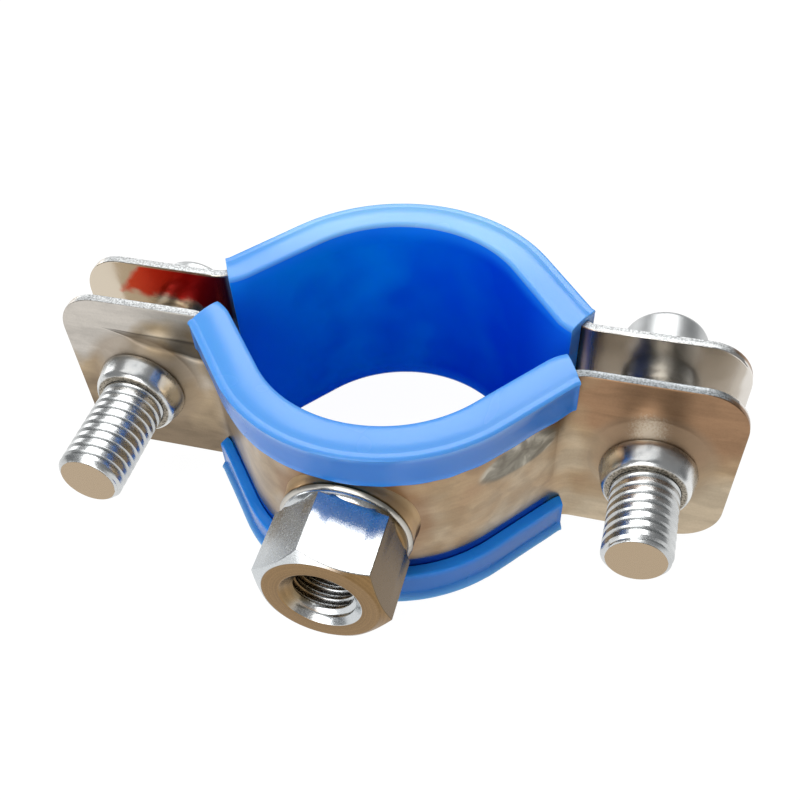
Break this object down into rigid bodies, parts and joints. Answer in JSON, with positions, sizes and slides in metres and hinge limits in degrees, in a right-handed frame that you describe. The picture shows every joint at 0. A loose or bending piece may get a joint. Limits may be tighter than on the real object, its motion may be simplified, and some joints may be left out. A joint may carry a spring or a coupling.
{
  "type": "rubber lined pipe clamp",
  "caption": "Two-piece stainless pipe clamp with blue rubber edge liners, cap screws through its ears and a threaded nut welded on the front.",
  "frame": {"origin": "axis of the pipe as it sits in the front half, half way up the band", "axes": "+Z along the pipe, +X along the ears towards the right ear, +Y from the welded nut towards the screw heads"},
  "size_m": [0.084, 0.0538, 0.0268],
  "materials": {
    "stainless_sheet": "polished",
    "stainless_turned": "satin",
    "stainless_weld": "satin",
    "stainless_screw": "satin",
    "blue_rubber": "glossy"
  },
  "bodies": {
    "front_half": {"front_band": "stainless_sheet", "front_liner": "blue_rubber", "mounting_nut": "stainless_turned", "nut_weld": "stainless_weld"},
    "rear_half": {"rear_band": "stainless_sheet", "rear_liner": "blue_rubber"},
    "left_screw": {"left_screw": "stainless_screw"},
    "right_screw": {"right_screw": "stainless_screw"}
  },
  "joints": [
    {"name": "rear_half_slide", "type": "slide", "parent": "front_half", "child": "rear_half", "axis": [0, 1, 0], "range_m": [-0.0029, 0.008]},
    {"name": "left_screw_turn", "type": "hinge", "parent": "rear_half", "child": "left_screw", "pos_m": [-0.03219, 0, 0], "axis": [0, 1, 0], "range_deg": [-840.2, 2309]},
    {"name": "right_screw_turn", "type": "hinge", "parent": "rear_half", "child": "right_screw", "pos_m": [0.03219, 0, 0], "axis": [0, 1, 0], "range_deg": [-840.2, 2309]}
  ],
  "couplings": [
    {"joint": "left_screw_turn", "follows": "rear_half_slide", "rad_per_m": 5026.5},
    {"joint": "right_screw_turn", "follows": "rear_half_slide", "rad_per_m": 5026.5}
  ]
}
